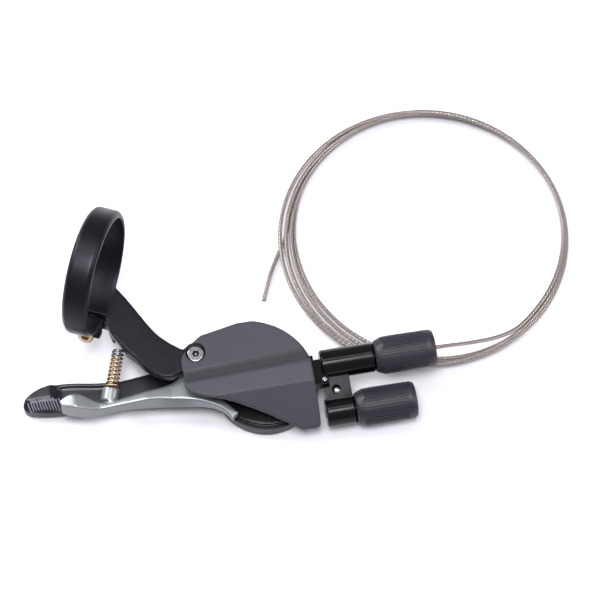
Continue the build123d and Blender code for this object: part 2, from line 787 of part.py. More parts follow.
def barrel(tube_start, tube_end, v, z):
    """A threaded stud with a bore for the wire and a wider one for the cable housing."""
    thread = barrel_length(tube_start, tube_end) - 0.3
    end = tube_end + knob_gap + knob_length
    body = tube_along_u(barrel_radius, tube_end - thread, tube_end + knob_collar_end + 1, v, z)
    body += tube_along_u(knob_clear_radius, tube_end + knob_gap + knob_collar_end, end, v, z)
    body -= tube_along_u(wire_bore_radius, tube_start - 5, end + 1, v, z)
    body -= tube_along_u(housing_radius, end - housing_depth, end + 1, v, z)
    return on_body(body)


def knob_core(tube_end, v, z):
    """A smooth sleeve on the barrel's head, with room for the detent spring at its near end."""
    start = tube_end + knob_gap
    end = start + knob_length
    body = tube_along_u(knob_core_radius, start + knob_lip, end - knob_lip, v, z)
    body -= tube_along_u(barrel_radius, start, end, v, z)
    body -= tube_along_u(knob_clear_radius, start, start + knob_collar_start, v, z)
    body -= tube_along_u(knob_clear_radius, start + knob_collar_end, end, v, z)
    return on_body(body)


def knob(tube_end, v, z):
    """A ribbed rubber-like grip moulded over the sleeve, with a lip over each of its ends."""
    profile = [(0, 0), (0, knob_radius - 1.2), (0.5, knob_radius - 0.8), (2.4, knob_radius - 0.05),
               (5.0, knob_radius), (knob_length - 1.2, knob_radius - 0.1),
               (knob_length - 0.2, knob_radius - 0.5), (knob_length, knob_radius - 1.0), (knob_length, 0)]
    body = revolve(outline(*profile), axis=Axis.X)
    cut_length = knob_length - 2.0
    blade = Box(cut_length, rib_width, 2 * rib_depth)
    grooves = []
    for group in range(rib_groups):
        for index in range(ribs_per_group):
            angle = group * 360 / rib_groups + index * rib_pitch_angle
            grooves.append(Rot(angle, 0, 0) * Pos(cut_length / 2 - 0.5, 0, knob_radius) * blade)
    body -= grooves
    body -= tube_along_u(knob_clear_radius, -1, knob_length + 1, 0, 0)
    body -= tube_along_u(knob_core_radius, knob_lip, knob_length - knob_lip, 0, 0)
    return on_body(Pos(tube_end + knob_gap, v, z) * body)


def knob_spring(tube_end, v, z):
    """The detent spring inside a knob, round the barrel."""
    room = knob_collar_start - knob_spring_wire - 0.1
    body = coil(barrel_radius + 0.2 + knob_spring_wire / 2, room / 3, 3, knob_spring_wire)
    start = tube_end + knob_gap + knob_spring_wire / 2 + 0.05
    return on_body(Pos(start, v, z) * Rot(0, 90, 0) * body)


# The inner wire

def cable_points():
    """The wire's route from the spool, through the upper knob, down to the coil."""
    exit_u = upper_tube_end + knob_gap + knob_length
    lead = math.radians(19.0)
    wrap = upper_groove_radius + cable_radius + 0.05
    return [body_point(wrap * math.sin(lead), -wrap * math.cos(lead), upper_cable_height),
            body_point(14.6, upper_tube_v - 0.25, upper_cable_height),
            body_point(exit_u + 2.0, upper_tube_v, upper_cable_height),
            body_point(57.5, -0.1, upper_cable_height - 1.8),
            Vector(111.5, 22.3, table_height + 5.4),
            Vector(117.16, 29.22, coil_centre.Z)]


def fillet_radii(points):
    """Radii as large as each pair of runs allows."""
    radii = []
    for before, corner, after in zip(points, points[1:], points[2:]):
        first = corner - before
        second = after - corner
        turn = math.radians(first.get_angle(second))
        run = min(first.length, second.length)
        radii.append(0.45 * run / math.tan(turn / 2))
    return radii


def wire_tube(points):
    radii = fillet_radii(points)
    path = FilletPolyline(*points, radius=radii)
    section = Plane(origin=path @ 0, z_dir=path % 0) * Circle(cable_radius)
    tube = sweep(section, path=path)
    print("wire radii", [round(radius, 1) for radius in radii], "length", round(path.length, 1),
          "volume", round(tube.volume, 2), "expected",
          round(path.length * math.pi * cable_radius ** 2, 2))
    return tube


def cable_run():
    return wire_tube(cable_points())


def cable_coil():
    return Pos(*tuple(coil_centre)) * Torus(coil_mean_radius, coil_section_radius)


def tail_points():
    low = table_height + cable_radius
    return [Vector(43.56, 39.22, coil_centre.Z), Vector(42.46, 32.22, low + 1.0),
            Vector(42.16, 25.22, low + 0.3), Vector(42.66, 18.22, low)]


def cable_tail():
    return wire_tube(tail_points())


def upper(maker):
    return maker(upper_tube_end, upper_tube_v, upper_cable_height)


def lower(maker):
    return maker(lower_tube_end, lower_tube_v, lower_cable_height)


def main():
    os.makedirs("parts", exist_ok=True)
    nodes = {
        "bar_clamp": bar_clamp(),
        "pinch_bolt": pinch_bolt(),
        "chassis": chassis(),
        "cover": cover(),
        "pivot_screw": pivot_screw(),
        "pivot_bush": pivot_bush(),
        "pivot_nut": pivot_nut(),
        "main_lever": main_lever(),
        "cable_spool": cable_spool(),
        "main_bush": main_bush(),
        "main_axle": main_axle(),
        "axle_washer": axle_washer(),
        "axle_screw": axle_screw(),
        "return_spring": return_spring(),
        "release_lever": release_lever(),
        "release_spring": release_spring(),
        "pawl": pawl(),
        "pawl_pin": pawl_pin(),
        "pawl_spring": pawl_spring(),
        "adjuster_block": adjuster_block(),
        "block_pin": block_pin(),
        "set_screw": set_screw(),
        "upper_barrel": barrel(upper_tube_start, upper_tube_end, upper_tube_v, upper_cable_height),
        "upper_knob_core": upper(knob_core),
        "upper_knob": upper(knob),
        "upper_knob_spring": upper(knob_spring),
        "lower_barrel": barrel(lower_tube_start, lower_tube_end, lower_tube_v, lower_cable_height),
        "lower_knob_core": lower(knob_core),
        "lower_knob": lower(knob),
        "lower_knob_spring": lower(knob_spring),
        "cable_head": cable_head(),
        "cable_run": cable_run(),
        "cable_coil": cable_coil(),
        "cable_tail": cable_tail(),
    }
    for name, shape in nodes.items():
        shape.label = name
        export_step(shape, f"parts/{name}.step")


main()
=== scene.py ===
"""Dresses the fork lockout lever: its wire, spring, surfaces, camera and studio."""

import math

import bmesh
import bpy
from mathutils import Euler, Matrix, Vector


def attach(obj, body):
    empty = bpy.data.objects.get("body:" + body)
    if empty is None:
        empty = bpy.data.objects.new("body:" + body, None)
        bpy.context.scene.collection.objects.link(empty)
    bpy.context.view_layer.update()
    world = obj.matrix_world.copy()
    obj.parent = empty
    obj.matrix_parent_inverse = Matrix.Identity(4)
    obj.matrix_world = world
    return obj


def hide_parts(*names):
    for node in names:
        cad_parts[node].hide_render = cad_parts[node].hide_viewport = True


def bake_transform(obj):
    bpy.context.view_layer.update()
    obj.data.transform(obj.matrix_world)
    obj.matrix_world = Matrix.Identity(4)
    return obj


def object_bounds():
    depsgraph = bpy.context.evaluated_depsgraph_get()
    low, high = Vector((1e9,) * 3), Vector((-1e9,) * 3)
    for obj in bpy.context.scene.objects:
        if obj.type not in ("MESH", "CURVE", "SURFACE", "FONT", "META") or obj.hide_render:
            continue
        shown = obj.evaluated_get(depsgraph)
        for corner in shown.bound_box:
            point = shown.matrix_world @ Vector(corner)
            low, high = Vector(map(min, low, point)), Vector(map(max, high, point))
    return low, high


bl_info = {
    "name": "Fork Lockout Lever Looks",
    "version": (1, 0, 0),
    "blender": (4, 5, 0),
    "location": "View3D > Sidebar > Lockout Lever",
    "description": "Gives the fork lockout lever its wire, spring, surfaces and studio",
    "category": "Object",
}

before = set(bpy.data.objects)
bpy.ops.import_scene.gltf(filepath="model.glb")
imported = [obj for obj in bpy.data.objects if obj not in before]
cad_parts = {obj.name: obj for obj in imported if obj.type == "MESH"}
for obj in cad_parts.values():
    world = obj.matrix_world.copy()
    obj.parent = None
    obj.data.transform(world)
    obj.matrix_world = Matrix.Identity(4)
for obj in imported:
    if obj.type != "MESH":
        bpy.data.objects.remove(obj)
CAD_LOW, CAD_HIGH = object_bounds()
TABLE = CAD_LOW.z

# The lever body lies turned from the handlebar's line, round the main axle.
AXLE = Vector((0.05064, -0.00777, -0.0136))
BODY_YAW = math.radians(25)

# Where the photograph was taken from, and how long its lens is.
CAMERA_PLACE = Vector((0.12070, -0.23264, 0.50718))
CAMERA_AZIMUTH = 15
CAMERA_ELEVATION = 64
CAMERA_LENS = 124.56

# The wire's way out of the upper adjuster, then the loose end's, as part.py has them.
WIRE_OUT = (
    (0.06902, 0.00013, -0.0217),
    (0.09585, 0.01287, -0.0217),
    (0.10280, 0.01644, -0.0235),
    (0.11150, 0.02230, -0.0265),
)
WIRE_TAIL = (
    (0.04356, 0.03922, -0.03135),
    (0.04246, 0.03222, -0.03135),
    (0.04216, 0.02522, -0.03135),
    (0.04266, 0.01822, -0.03135),
)
WIRE_INSIDE = (
    (0.05467, -0.01194, -0.0217),
    (0.06414, -0.00219, -0.0217),
    (0.06947, 0.00034, -0.0217),
)
COIL_CENTRE = Vector((0.08216, 0.05182, -0.0298))
COIL_FIRST = math.radians(-32.9)
COIL_LAST = math.radians(198.1 + 4 * 360)
COIL_POINTS_A_TURN = 16

# The wire's strands, drawn as seven, and how far they run along it in one turn.
WIRE_STRANDS = 7
WIRE_LAY_MM = 9.0

# How the loose turns fan out: most at the lower left, by a slow wave that shifts from turn to turn.
FAN_SIDE = math.radians(228)
FAN_MORE = 0.65
FAN_OVAL = 0.12
FAN_WAVE = 0.9
FAN_START = math.radians(209)
COIL_FLAT = 0.00045

# The release spring's seat on its lever, and the way that it points.
SPRING_SEAT = (-0.0433, 0.0027, -0.009983)
SPRING_LEAN = math.radians(72)
SPRING_TILT = math.radians(8)
SPRING_FIRST = -0.00038
SPRING_LENGTH = 0.0130
SPRING_POINTS_A_TURN = 16
SPRING_BRASS_SHARE = 0.8

# The floor of the socket in the pivot screw's head, where a dark liner of painted shade sits.
SCREW_SOCKET = (-0.0185, 0.0074, -0.00498)
SOCKET_RADIUS = 0.00098
SOCKET_DEPTH = 0.00070
SOCKET_WALL = 0.00012
SOCKET_DISH = 0.00045
SOCKET_PIN_RADIUS = 0.00036
SOCKET_PIN_HEIGHT = 0.00038

# The ridges on the thumb paddle's sloping front, from its upper edge to its foot, across the body.
RIB_COUNT = 12
RIB_FIRST = -0.0664
RIB_PITCH = 0.00078
RIB_RADIUS = 0.00015
RIB_LEAN = 0.0001
RIB_REACH = 0.0005
PADDLE_END = -0.058
PADDLE_FOOT = 0.0010
PADDLE_RISE = 0.16
RIB_SHIFTS = (-0.0003, -0.0002, 0.0002, 0.0004)
RIB_ACROSS = (0.0043, 0.0034, 0.0021)
RIB_HEIGHTS = (-0.01235, -0.01305, -0.01395, -0.01520)

# The cover's darker stripe, painted shade where a facet turns from the light, lies between two lines, each where it
# starts, how it slopes, and its side.
PAINTED_SHADE_LINES = ((0.00315, 0.053, 1), (-0.0005, 0.037, -1))
PAINTED_SHADE_BLUR = 0.00012

# The main lever's softened blade ends under the cover, where its exact hub begins.
BLADE_END = -0.0145
HUB_START = -0.0155

# The softboxes: name, place, width, height and power. All of them point at the middle of the object.
LIGHTS = (
    ("key_softbox", (0.05, -0.22, 0.98), 0.36, 0.36, 11.0),
    ("left_softbox", (-0.65, 0.20, 0.60), 0.50, 0.50, 10.0),
    ("right_softbox", (0.80, 0.10, 0.50), 0.40, 0.40, 3.5),
    ("tube_strip", (0.02, 0.26, 1.05), 0.90, 0.04, 2.2),
)
LIT_MIDDLE = Vector((0.056, 0.016, -0.024))
SKY = (0.90, 0.90, 1.0, 1.0)
SKY_STRENGTH = 0.56

# The size of the soft mottling on every finish, nylon's index, and how near points are merged.
CLOUD_MM = 9.0
NYLON_IOR = 1.53
MERGE_DISTANCE = 0.000002


def in_body(u, v, z):
    """A point given along and across the lever body, in the shared frame."""
    return AXLE + Matrix.Rotation(BODY_YAW, 3, "Z") @ Vector((u, v, 0)) + Vector((0, 0, z))


def body_axis():
    """The way along the lever body, from the levers' tips to the adjusters."""
    return Matrix.Rotation(BODY_YAW, 3, "Z") @ Vector((1, 0, 0))


# Colours and nodes


def linear(code):
    """An sRGB hex colour as linear red, green, blue and alpha."""
    channels = [int(code[i:i + 2], 16) / 255 for i in (1, 3, 5)]
    return [c / 12.92 if c <= 0.04045 else ((c + 0.055) / 1.055) ** 2.4 for c in channels] + [1.0]


def add(tree, kind, values=None, links=None, **options):
    """A node with its options, its socket values and the sockets that feed it."""
    node = tree.nodes.new(kind)
    for key, value in options.items():
        setattr(node, key, value)
    for socket, value in (values or {}).items():
        node.inputs[socket].default_value = value
    for socket, (source, output) in (links or {}).items():
        tree.links.new(source.outputs[output], node.inputs[socket])
    return node


def new_tree(name):
    """A material and its empty node tree."""
    material = bpy.data.materials.new(name)
    material.use_nodes = True
    material.node_tree.nodes.clear()
    return material, material.node_tree


def toned(colour, factor, lift=0.0):
    """A colour made darker or lighter."""
    return [min(1.0, c * factor + lift) for c in colour[:3]] + [1.0]


def surface(name, colour, metallic, rough, grain_mm, depth_mm, mottle, edge, round_mm=0.3, **shader):
    """A solid's finish: a grain in millimetres, soft mottling, and edges rounded and worn by handling."""
    material, tree = new_tree(name)
    place = add(tree, "ShaderNodeTexCoord")
    grain = add(tree, "ShaderNodeTexNoise", {"Scale": 1000 / grain_mm, "Detail": 3.0, "Roughness": 0.6},
                {"Vector": (place, "Object")})
    cloud = add(tree, "ShaderNodeTexNoise", {"Scale": 1000 / CLOUD_MM, "Detail": 4.0, "Roughness": 0.65},
                {"Vector": (place, "Object")})
    rounded = add(tree, "ShaderNodeBevel", {"Radius": round_mm / 1000}, samples=6)
    normal = add(tree, "ShaderNodeNewGeometry")
    along = add(tree, "ShaderNodeVectorMath", None, {0: (rounded, "Normal"), 1: (normal, "Normal")},
                operation="DOT_PRODUCT")
    worn = add(tree, "ShaderNodeMapRange", {"From Min": 0.97, "From Max": 0.80, "To Min": 0.0, "To Max": edge},
               {"Value": (along, "Value")})
    patchy = add(tree, "ShaderNodeMath", None, {0: (worn, "Result"), 1: (cloud, "Fac")}, operation="MULTIPLY")
    tone = add(tree, "ShaderNodeMix", {6: toned(colour, 1 - mottle), 7: toned(colour, 1 + mottle)},
               {0: (cloud, "Fac")}, data_type="RGBA")
    tone = add(tree, "ShaderNodeMix", {7: toned(colour, 1.9, 0.02)}, {0: (patchy, "Value"), 6: (tone, 2)},
               data_type="RGBA")
    gloss = add(tree, "ShaderNodeMapRange",
                {"From Min": 0.3, "From Max": 0.7, "To Min": rough - 0.05, "To Max": rough + 0.05},
                {"Value": (cloud, "Fac")})
    bump = add(tree, "ShaderNodeBump", {"Strength": 0.6, "Distance": depth_mm / 1000},
               {"Height": (grain, "Fac"), "Normal": (rounded, "Normal")})
    shade = add(tree, "ShaderNodeBsdfPrincipled", {"Metallic": metallic, **shader},
                {"Base Color": (tone, 2), "Roughness": (gloss, "Result"), "Normal": (bump, "Normal")})
    add(tree, "ShaderNodeOutputMaterial", None, {"Surface": (shade, "BSDF")})
    return material


def colours():
    """The colours that a user may change."""
    return bpy.context.scene.lockout_colours


def anodised_aluminium():
    # Bead-blasted, then dyed black and sealed: a deep soft black whose edges catch a thin pale line.
    return surface("anodised_aluminium", colours().clamp, metallic=0.68, rough=0.36, grain_mm=0.35,
                   depth_mm=0.02, mottle=0.08, edge=0.5)


def polished_anodised_aluminium():
    # Turned, polished and then dyed: nearly a mirror, so softboxes show as long bright stripes.
    return surface("polished_anodised_aluminium", colours().block, metallic=0.6, rough=0.17, grain_mm=0.8,
                   depth_mm=0.004, mottle=0.06, edge=0.35)


def glass_filled_nylon():
    # Moulded in a spark-eroded tool: an even satin grey with a fine pebble grain. A stripe across it is
    # painted shade: its colour is darkened where a facet of the cover turns from the light.
    material = surface("glass_filled_nylon", colours().cover, metallic=0.0, rough=0.54, grain_mm=0.45,
                       depth_mm=0.03, mottle=0.07, edge=0.2, **{"IOR": NYLON_IOR, "Specular IOR Level": 0.30})
    tree = material.node_tree
    shade = next(node for node in tree.nodes if node.type == "BSDF_PRINCIPLED")
    place = add(tree, "ShaderNodeTexCoord")
    turned = add(tree, "ShaderNodeMapping", {"Location": AXLE, "Rotation": (0, 0, BODY_YAW)},
                 {"Vector": (place, "Object")}, vector_type="TEXTURE")
    parts = add(tree, "ShaderNodeSeparateXYZ", None, {"Vector": (turned, "Vector")})
    inside = None
    for start, slope, side in PAINTED_SHADE_LINES:
        line = add(tree, "ShaderNodeMath", {1: slope, 2: start}, {0: (parts, "X")}, operation="MULTIPLY_ADD")
        gap = add(tree, "ShaderNodeMath", None, {0: (line, "Value"), 1: (parts, "Y")}, operation="SUBTRACT")
        near = add(tree, "ShaderNodeMapRange", {"From Min": 0.0, "From Max": side * PAINTED_SHADE_BLUR},
                   {"Value": (gap, "Value")})
        if inside is None:
            inside = near
        else:
            inside = add(tree, "ShaderNodeMath", None, {0: (inside, "Result"), 1: (near, "Result")},
                         operation="MULTIPLY")
    tone = shade.inputs["Base Color"].links[0].from_socket
    # Painted shade: inside the stripe the cover's colour is darkened to 0.35.
    stripe = add(tree, "ShaderNodeMix", {7: toned(colours().cover, 0.35)}, None, data_type="RGBA")
    tree.links.new(inside.outputs["Value"], stripe.inputs[0])
    tree.links.new(tone, stripe.inputs[6])
    tree.links.new(stripe.outputs[2], shade.inputs["Base Color"])
    return material


def satin_nylon_lever():
    # Moulded like the cover, and smoothed by thumbs, so it shines a little on its high places.
    return surface("satin_nylon_lever", colours().main_lever, metallic=0.0, rough=0.34, grain_mm=0.5,
                   depth_mm=0.02, mottle=0.12, edge=0.4, **{"IOR": NYLON_IOR, "Specular IOR Level": 0.35})


def acetal_spool():
    # Machined acetal is slippery and a bit waxy, with a clear highlight along its rim.
    return surface("acetal_spool", colours().spool, metallic=0.0, rough=0.24, grain_mm=0.7, depth_mm=0.01,
                   mottle=0.08, edge=0.3, IOR=1.48)


def painted_zinc_casting():
    # A zinc casting sprayed with a silver lacquer: cool grey, with a broad soft metal shine.
    return surface("painted_zinc_casting", colours().release_lever, metallic=0.75, rough=0.36, grain_mm=0.3,
                   depth_mm=0.008, mottle=0.05, edge=0.35, **{"Coat Weight": 0.25, "Coat Roughness": 0.18})


def moulded_rubber():
    # Soft rubber over a plastic core: dull, slightly dusty, and lighter where its ribs are rubbed.
    return surface("moulded_rubber", colours().grip, metallic=0.0, rough=0.46, grain_mm=0.4, depth_mm=0.03,
                   mottle=0.14, edge=0.6, round_mm=0.15,
                   **{"Sheen Weight": 0.05, "Sheen Roughness": 0.5, "Specular IOR Level": 0.35})


def zinc_plated_steel():
    # Bright plating over cold-headed steel: a clean cool shine with faint mottling.
    return surface("zinc_plated_steel", colours().bolt, metallic=1.0, rough=0.24, grain_mm=0.5,
                   depth_mm=0.006, mottle=0.1, edge=0.3, round_mm=0.07)


def yellow_zinc_plating():
    # Zinc with a yellow passivation: straw coloured, a little pink where it's thin.
    return surface("yellow_zinc_plating", colours().bolt_zinc, metallic=1.0, rough=0.24, grain_mm=0.5,
                   depth_mm=0.006, mottle=0.1, edge=0.3, round_mm=0.07)


def socket_painted_shade():
    # Painted shade inside the socket: a dark liner that is coloured where the socket's hollow lies in shadow.
    return surface("socket_painted_shade", colours().socket, metallic=0.6, rough=0.5, grain_mm=0.5,
                   depth_mm=0.006, mottle=0.1, edge=0.3, round_mm=0.07)


def rib_painted_highlight():
    # The paddle's ridges, coloured pale as a painted highlight, and slightly shiny.
    return surface("rib_painted_highlight", colours().ribs, metallic=0.0, rough=0.30, grain_mm=0.5, depth_mm=0.01,
                   mottle=0.12, edge=0.4, round_mm=0.05, IOR=NYLON_IOR)


def drawn_steel_wire():
    # Drawn through a die, so its shine runs along the wire in fine lines.
    return surface("drawn_steel_wire", colours().spring, metallic=1.0, rough=0.26, grain_mm=0.3,
                   depth_mm=0.004, mottle=0.12, edge=0.3)


def brass_plated_wire():
    # Spring wire flashed with brass: warm yellow on the crests and brown in the gaps.
    return surface("brass_plated_wire", colours().plating, metallic=1.0, rough=0.28, grain_mm=0.3,
                   depth_mm=0.004, mottle=0.15, edge=0.3)


def sintered_bronze():
    # Pressed powder soaked in oil: dull gold with tiny pores.
    return surface("sintered_bronze", colours().bearing, metallic=1.0, rough=0.42, grain_mm=0.15,
                   depth_mm=0.02, mottle=0.15, edge=0.3)


def stranded_stainless_wire():
    # Thin wires laid in a spiral: painted highlight on the crests and painted shade in the dark valleys
    # between them. The real wires are 0.2 mm thick, drawn here thicker so that the spiral shows.
    material, tree = new_tree("stranded_stainless_wire")
    turns = bpy.context.scene.lockout_sizes.wire_length * 1000 / WIRE_LAY_MM
    colour = colours().wire
    place = add(tree, "ShaderNodeTexCoord")
    parts = add(tree, "ShaderNodeSeparateXYZ", None, {"Vector": (place, "UV")})
    wound = add(tree, "ShaderNodeMath", {1: turns}, {0: (parts, "X")}, operation="MULTIPLY")
    wound = add(tree, "ShaderNodeMath", None, {0: (wound, "Value"), 1: (parts, "Y")}, operation="ADD")
    wound = add(tree, "ShaderNodeMath", {1: WIRE_STRANDS * math.tau}, {0: (wound, "Value")}, operation="MULTIPLY")
    ridge = add(tree, "ShaderNodeMath", None, {0: (wound, "Value")}, operation="SINE")
    height = add(tree, "ShaderNodeMapRange", {"From Min": -1.0, "From Max": 0.4}, {"Value": (ridge, "Value")})
    cloud = add(tree, "ShaderNodeTexNoise", {"Scale": 1000 / 6.0, "Detail": 3.0}, {"Vector": (place, "Object")})
    # Painted shade and highlight: the colour runs from 0.16 of the wire's in the valleys to 1.15 on the crests.
    tone = add(tree, "ShaderNodeMix", {6: toned(colour, 0.16), 7: toned(colour, 1.15)},
               {0: (height, "Result")}, data_type="RGBA")
    gloss = add(tree, "ShaderNodeMapRange", {"To Min": 0.24, "To Max": 0.40}, {"Value": (cloud, "Fac")})
    bump = add(tree, "ShaderNodeBump", {"Strength": 0.8, "Distance": 0.00012}, {"Height": (height, "Result")})
    shade = add(tree, "ShaderNodeBsdfPrincipled", {"Metallic": 1.0},
                {"Base Color": (tone, 2), "Roughness": (gloss, "Result"), "Normal": (bump, "Normal")})
    add(tree, "ShaderNodeOutputMaterial", None, {"Surface": (shade, "BSDF")})
    return material


def seamless_paper():
    # Matt white paper rolled out under the object, with the faintest fibre.
    material, tree = new_tree("seamless_paper")
    place = add(tree, "ShaderNodeTexCoord")
    fibre = add(tree, "ShaderNodeTexNoise", {"Scale": 1000 / 1.5, "Detail": 4.0}, {"Vector": (place, "Object")})
    paper = colours().paper
    tone = add(tree, "ShaderNodeMix", {6: toned(paper, 0.985), 7: toned(paper, 1)}, {0: (fibre, "Fac")},
               data_type="RGBA")
    shade = add(tree, "ShaderNodeBsdfPrincipled", {"Roughness": 0.9}, {"Base Color": (tone, 2)})
    add(tree, "ShaderNodeOutputMaterial", None, {"Surface": (shade, "BSDF")})
    return material


def paint(material, *nodes):
    """Gives CAD nodes a finish in place of the plain one that they came with."""
    for name in nodes:
        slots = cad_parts[name].data.materials
        slots.clear()
        slots.append(material)


def finish(piece, material, body):
    """Gives a new piece its one finish and the body that carries it."""
    piece.data.materials.clear()
    piece.data.materials.append(material)
    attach(piece, body)


# Curves


def nurbs(name, points, radius):
    """One open smooth spline that follows its points, with round thickness."""
    curve = bpy.data.curves.new(name, "CURVE")
    curve.dimensions = "3D"
    spline = curve.splines.new("NURBS")
    spline.points.add(len(points) - 1)
    for control, point in zip(spline.points, points):
        control.co = (*point, 1.0)
    spline.order_u = 3
    spline.use_endpoint_u = True
    curve.resolution_u = 8
    curve.bevel_depth = radius
    curve.bevel_resolution = 4
    curve.use_fill_caps = True
    piece = bpy.data.objects.new(name, curve)
    bpy.context.scene.collection.objects.link(piece)
    return piece


def coil_points(sizes):
    """Loose turns that differ in size, the later ones under the earlier."""
    count = round((COIL_LAST - COIL_FIRST) / math.tau * COIL_POINTS_A_TURN)
    points = []
    for index in range(count + 1):
        share = index / count
        angle = COIL_FIRST + (COIL_LAST - COIL_FIRST) * share
        fan = sizes.coil_spread * (1 + FAN_MORE * math.cos(angle - FAN_SIDE) - FAN_OVAL * math.cos(2 * angle))
        flat = COIL_FLAT * max(0.0, math.sin(angle))
        radius = sizes.coil_radius - flat + fan * math.sin(FAN_WAVE * angle + FAN_START)
        drop = sizes.coil_height * (0.5 - share)
        points.append(COIL_CENTRE + Vector((radius * math.cos(angle), radius * math.sin(angle), drop)))
    return points


def settled(built, name):
    """A new piece from a finished bmesh."""
    mesh = bpy.data.meshes.new(name)
    built.to_mesh(mesh)
    built.free()
    piece = bpy.data.objects.new(name, mesh)
    bpy.context.scene.collection.objects.link(piece)
    return piece


def copied(node, plane=None, **cleared):
    """A merged bmesh copy of a CAD node, cut across the body at a plane and closed again there."""
    built = bmesh.new()
    built.from_mesh(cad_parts[node].data)
    bmesh.ops.remove_doubles(built, verts=built.verts, dist=MERGE_DISTANCE)
    if plane is not None:
        cut = bmesh.ops.bisect_plane(built, geom=[*built.verts, *built.edges, *built.faces],
                                     plane_co=in_body(plane, 0, 0), plane_no=body_axis(), **cleared)
        edges = [item for item in cut["geom_cut"] if isinstance(item, bmesh.types.BMEdge)]
        bmesh.ops.holes_fill(built, edges=edges)
    return built


def softened(built, name, voxel, rounds):
    """A new piece whose sharp corners are worn round, as a casting's or a moulding's are."""
    piece = settled(built, name)
    cells = piece.modifiers.new("cells", "REMESH")
    cells.mode = "VOXEL"
    cells.voxel_size = voxel
    cells.use_smooth_shade = True
    worn = piece.modifiers.new("worn", "SMOOTH")
    worn.factor = 0.5
    worn.iterations = rounds
    fewer = piece.modifiers.new("fewer", "DECIMATE")
    fewer.ratio = 0.4
    return piece


def thumb_ribs():
    """Fine wavy ridges down the thumb paddle's sloping front, which keep a wet thumb from slipping."""
    ridges = []
    for index in range(RIB_COUNT):
        u = RIB_FIRST + index * RIB_PITCH
        lean = RIB_LEAN * math.sin(index * 1.9)
        reach = RIB_REACH * math.sin(index * 2.3)
        foot = PADDLE_FOOT + PADDLE_RISE * max(0.0, PADDLE_END - u)
        start, upper, lower, end = (u + shift for shift in RIB_SHIFTS)
        along = (start, upper + lean, lower, end - lean)
        across = (RIB_ACROSS[0] + reach, *RIB_ACROSS[1:], foot)
        path = [in_body(*point) for point in zip(along, across, RIB_HEIGHTS)]
        ridges.append(nurbs("ridge", path, RIB_RADIUS))
    bpy.context.view_layer.update()
    graph = bpy.context.evaluated_depsgraph_get()
    built = bmesh.new()
    for ridge in ridges:
        solid = bpy.data.meshes.new_from_object(ridge.evaluated_get(graph))
        built.from_mesh(solid)
        bpy.data.objects.remove(ridge)
    for face in built.faces:
        face.smooth = True
    return settled(built, "thumb_ribs")


def placed(built, name, place):
    """A new piece in the body's frame, its mesh moved there so that the piece itself stays unturned."""
    bmesh.ops.rotate(built, verts=built.verts, matrix=Matrix.Rotation(BODY_YAW, 3, "Z"))
    bmesh.ops.translate(built, verts=built.verts, vec=in_body(*place))
    return settled(built, name)


def screw_socket():
    """A dark hexagon liner in the pivot screw's socket, painted shade for the hollow, dished where the key has worn
    it.
    """
    built = bmesh.new()
    bmesh.ops.create_circle(built, cap_ends=True, segments=6, radius=SOCKET_RADIUS)
    bmesh.ops.reverse_faces(built, faces=built.faces[:])
    walls = bmesh.ops.extrude_face_region(built, geom=built.faces[:])
    top = [item for item in walls["geom"] if isinstance(item, bmesh.types.BMVert)]
    bmesh.ops.translate(built, verts=top, vec=(0, 0, SOCKET_DEPTH))
    lid = [item for item in walls["geom"] if isinstance(item, bmesh.types.BMFace)]
    bmesh.ops.inset_region(built, faces=lid, thickness=SOCKET_WALL)
    bmesh.ops.translate(built, verts=lid[0].verts, vec=(0, 0, -SOCKET_DISH))
    bmesh.ops.recalc_face_normals(built, faces=built.faces)
    return placed(built, "pivot_screw_socket_shade", SCREW_SOCKET)


def screw_pin():
    """The small bright pin that stands in the socket."""
    built = bmesh.new()
    bmesh.ops.create_uvsphere(built, u_segments=16, v_segments=10, radius=SOCKET_PIN_RADIUS)
    bmesh.ops.scale(built, verts=built.verts, vec=(1, 1, 0.8))
    bmesh.ops.translate(built, verts=built.verts, vec=(0, 0, SOCKET_PIN_HEIGHT))
    for face in built.faces:
        face.smooth = True
    return placed(built, "pivot_screw_pin", SCREW_SOCKET)


# What a user may change


class LockoutSizes(bpy.types.PropertyGroup):
    wire_diameter: bpy.props.FloatProperty(
        name="Wire diameter", description="Thickness of the stranded wire", default=0.0011, unit="LENGTH")
    wire_length: bpy.props.FloatProperty(
        name="Wire length", description="From inside the adjuster to the cut end", default=1.29, unit="LENGTH")
    coil_radius: bpy.props.FloatProperty(
        name="Coil radius", description="Middle of the loose turns", default=0.0418, unit="LENGTH")
    coil_spread: bpy.props.FloatProperty(
        name="Coil spread", description="How far the turns fan out", default=0.0020, unit="LENGTH")
    coil_height: bpy.props.FloatProperty(
        name="Coil height", description="From the lowest turn to the highest", default=0.0030, unit="LENGTH")
    spring_radius: bpy.props.FloatProperty(
        name="Spring radius", description="Middle of the release spring's wire", default=0.00147, unit="LENGTH")
    spring_wire: bpy.props.FloatProperty(
        name="Spring wire", description="Thickness of the release spring's wire", default=0.00072, unit="LENGTH")
    spring_turns: bpy.props.IntProperty(
        name="Spring turns", description="Turns of the release spring", default=11)


